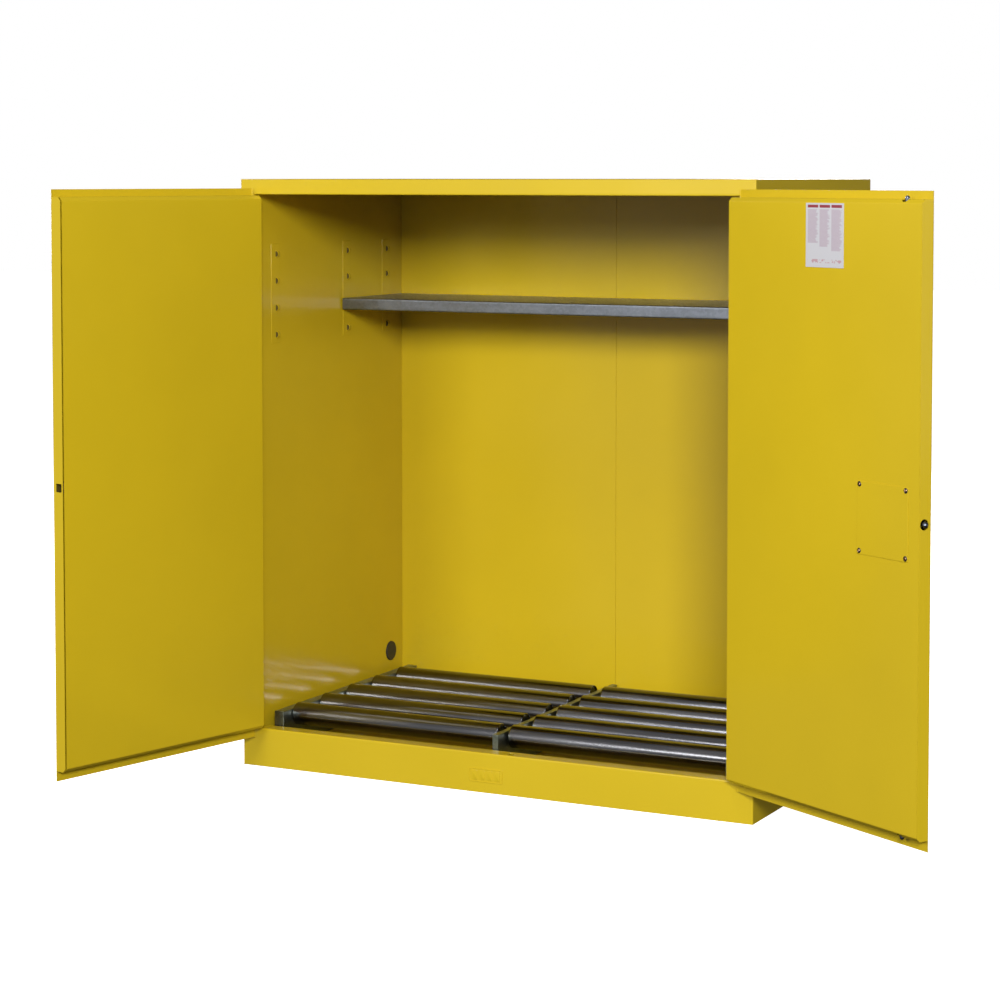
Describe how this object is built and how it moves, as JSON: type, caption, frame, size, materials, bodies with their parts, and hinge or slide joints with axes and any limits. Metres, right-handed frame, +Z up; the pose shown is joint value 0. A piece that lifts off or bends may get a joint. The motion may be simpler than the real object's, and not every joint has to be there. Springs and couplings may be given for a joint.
{
  "type": "flammable storage cabinet",
  "caption": "Free-standing double-walled steel cabinet with two hinged doors, a three-point latch, drum rollers over a spill sump, and a half-depth shelf above.",
  "frame": {"origin": "under the middle of the cabinet body, on the floor", "axes": "+Z up, front and doors towards -Y, +X to the right of someone facing the front"},
  "size_m": [2.2422, 1.6052, 1.651],
  "materials": {
    "yellow_enamel": "glossy yellow enamel on sheet steel",
    "galvanised_steel": "galvanised sheet with a faint spangle",
    "polished_steel": "drawn steel tube, polished by use",
    "bright_steel": "bright turned steel",
    "black_enamel": "black powder coat",
    "zinc_plate": "zinc-plated steel",
    "label_film": "printed film, satin"
  },
  "bodies": {
    "cabinet": {"outer_left_side": "yellow_enamel", "outer_right_side": "yellow_enamel", "outer_back": "yellow_enamel", "roof_panel": "yellow_enamel", "base_panel": "yellow_enamel", "inner_left_side": "yellow_enamel", "inner_right_side": "yellow_enamel", "inner_back": "yellow_enamel", "inner_ceiling": "yellow_enamel", "header_rail": "yellow_enamel", "front_plinth": "yellow_enamel", "blank_name_plate": "yellow_enamel", "sump_pan": "yellow_enamel", "left_hinge_frame_leaf": "yellow_enamel", "right_hinge_frame_leaf": "yellow_enamel", "left_hinge_pin": "bright_steel", "right_hinge_pin": "bright_steel", "left_roller_rail": "galvanised_steel", "centre_roller_rail": "galvanised_steel", "right_roller_rail": "galvanised_steel", "roller_axle_1": "polished_steel", "roller_axle_2": "polished_steel", "roller_axle_3": "polished_steel", "roller_axle_4": "polished_steel", "roller_axle_5": "polished_steel", "left_vent": "black_enamel", "right_vent": "black_enamel", "earthing_stud": "bright_steel"},
    "left_door": {"left_door_skin": "yellow_enamel", "left_door_liner": "yellow_enamel", "left_hinge_door_leaf": "yellow_enamel"},
    "right_door": {"right_door_skin": "yellow_enamel", "right_door_liner": "yellow_enamel", "right_hinge_door_leaf": "yellow_enamel", "latch_access_cover": "yellow_enamel", "instruction_label": "label_film", "handle_rose": "black_enamel"},
    "handle": {"lever_handle": "black_enamel", "latch_cam": "bright_steel"},
    "lock": {"lock_cylinder": "bright_steel"},
    "upper_bolt": {"top_rod": "bright_steel"},
    "lower_bolt": {"bottom_rod": "bright_steel"},
    "middle_bolt": {"centre_bolt": "bright_steel"},
    "shelf": {"shelf": "galvanised_steel"},
    "roller_left_1": {"roller_left_1": "polished_steel"},
    "roller_left_2": {"roller_left_2": "polished_steel"},
    "roller_left_3": {"roller_left_3": "polished_steel"},
    "roller_left_4": {"roller_left_4": "polished_steel"},
    "roller_left_5": {"roller_left_5": "polished_steel"},
    "roller_right_1": {"roller_right_1": "polished_steel"},
    "roller_right_2": {"roller_right_2": "polished_steel"},
    "roller_right_3": {"roller_right_3": "polished_steel"},
    "roller_right_4": {"roller_right_4": "polished_steel"},
    "roller_right_5": {"roller_right_5": "polished_steel"},
    "left_vent_cap": {"left_vent_cap": "black_enamel"},
    "right_vent_cap": {"right_vent_cap": "black_enamel"},
    "levelling_foot_front_left": {"levelling_foot_front_left": "zinc_plate"},
    "levelling_foot_front_right": {"levelling_foot_front_right": "zinc_plate"},
    "levelling_foot_rear_left": {"levelling_foot_rear_left": "zinc_plate"},
    "levelling_foot_rear_right": {"levelling_foot_rear_right": "zinc_plate"}
  },
  "joints": [
    {"name": "left_door_swing", "type": "hinge", "parent": "cabinet", "child": "left_door", "pos_m": [-0.7242, -0.449, 0.8585], "axis": [0, 0, 1], "range_deg": [-71.3, 103.7]},
    {"name": "right_door_swing", "type": "hinge", "parent": "cabinet", "child": "right_door", "pos_m": [0.7242, -0.449, 0.8585], "axis": [0, 0, 1], "range_deg": [-149.7, 25.3]},
    {"name": "handle_turn", "type": "hinge", "parent": "right_door", "child": "handle", "pos_m": [1.29059, -0.77997, 0.854], "axis": [0.5045, 0.8634, 0], "range_deg": [0, 90], "stiffness_Nm_per_rad": 0.25, "springref_deg": -28.65},
    {"name": "lock_turn", "type": "hinge", "parent": "handle", "child": "lock", "pos_m": [1.29059, -0.77997, 0.854], "axis": [0.5045, 0.8634, 0], "range_deg": [0, 90]},
    {"name": "upper_bolt_draw", "type": "slide", "parent": "right_door", "child": "upper_bolt", "axis": [0, 0, -1], "range_m": [0, 0.0142]},
    {"name": "lower_bolt_draw", "type": "slide", "parent": "right_door", "child": "lower_bolt", "axis": [0, 0, 1], "range_m": [0, 0.0142]},
    {"name": "middle_bolt_draw", "type": "slide", "parent": "right_door", "child": "middle_bolt", "axis": [-0.8634, 0.5045, 0], "range_m": [0, 0.0142]},
    {"name": "shelf_lift", "type": "slide", "parent": "cabinet", "child": "shelf", "axis": [0, 0, 1], "range_m": [0, 0.045]},
    {"name": "roller_left_1_spin", "type": "hinge", "parent": "cabinet", "child": "roller_left_1", "pos_m": [-0.3425, -0.315, 0.131], "axis": [1, 0, 0], "continuous": true},
    {"name": "roller_left_2_spin", "type": "hinge", "parent": "cabinet", "child": "roller_left_2", "pos_m": [-0.3425, -0.165, 0.131], "axis": [1, 0, 0], "continuous": true},
    {"name": "roller_left_3_spin", "type": "hinge", "parent": "cabinet", "child": "roller_left_3", "pos_m": [-0.3425, -0.015, 0.131], "axis": [1, 0, 0], "continuous": true},
    {"name": "roller_left_4_spin", "type": "hinge", "parent": "cabinet", "child": "roller_left_4", "pos_m": [-0.3425, 0.135, 0.131], "axis": [1, 0, 0], "continuous": true},
    {"name": "roller_left_5_spin", "type": "hinge", "parent": "cabinet", "child": "roller_left_5", "pos_m": [-0.3425, 0.285, 0.131], "axis": [1, 0, 0], "continuous": true},
    {"name": "roller_right_1_spin", "type": "hinge", "parent": "cabinet", "child": "roller_right_1", "pos_m": [0.3425, -0.315, 0.131], "axis": [1, 0, 0], "continuous": true},
    {"name": "roller_right_2_spin", "type": "hinge", "parent": "cabinet", "child": "roller_right_2", "pos_m": [0.3425, -0.165, 0.131], "axis": [1, 0, 0], "continuous": true},
    {"name": "roller_right_3_spin", "type": "hinge", "parent": "cabinet", "child": "roller_right_3", "pos_m": [0.3425, -0.015, 0.131], "axis": [1, 0, 0], "continuous": true},
    {"name": "roller_right_4_spin", "type": "hinge", "parent": "cabinet", "child": "roller_right_4", "pos_m": [0.3425, 0.135, 0.131], "axis": [1, 0, 0], "continuous": true},
    {"name": "roller_right_5_spin", "type": "hinge", "parent": "cabinet", "child": "roller_right_5", "pos_m": [0.3425, 0.285, 0.131], "axis": [1, 0, 0], "continuous": true},
    {"name": "left_vent_cap_unscrew", "type": "slide", "parent": "cabinet", "child": "left_vent_cap", "axis": [-1, 0, 0], "range_m": [0, 0.03]},
    {"name": "right_vent_cap_unscrew", "type": "slide", "parent": "cabinet", "child": "right_vent_cap", "axis": [1, 0, 0], "range_m": [0, 0.03]},
    {"name": "levelling_foot_front_left_screw", "type": "slide", "parent": "cabinet", "child": "levelling_foot_front_left", "axis": [0, 0, -1], "range_m": [0, 0.02]},
    {"name": "levelling_foot_front_right_screw", "type": "slide", "parent": "cabinet", "child": "levelling_foot_front_right", "axis": [0, 0, -1], "range_m": [0, 0.02]},
    {"name": "levelling_foot_rear_left_screw", "type": "slide", "parent": "cabinet", "child": "levelling_foot_rear_left", "axis": [0, 0, -1], "range_m": [0, 0.02]},
    {"name": "levelling_foot_rear_right_screw", "type": "slide", "parent": "cabinet", "child": "levelling_foot_rear_right", "axis": [0, 0, -1], "range_m": [0, 0.02]}
  ],
  "couplings": [
    {"joint": "upper_bolt_draw", "follows": "handle_turn", "m_per_rad": 0.009},
    {"joint": "lower_bolt_draw", "follows": "handle_turn", "m_per_rad": 0.009},
    {"joint": "middle_bolt_draw", "follows": "handle_turn", "m_per_rad": 0.009}
  ]
}
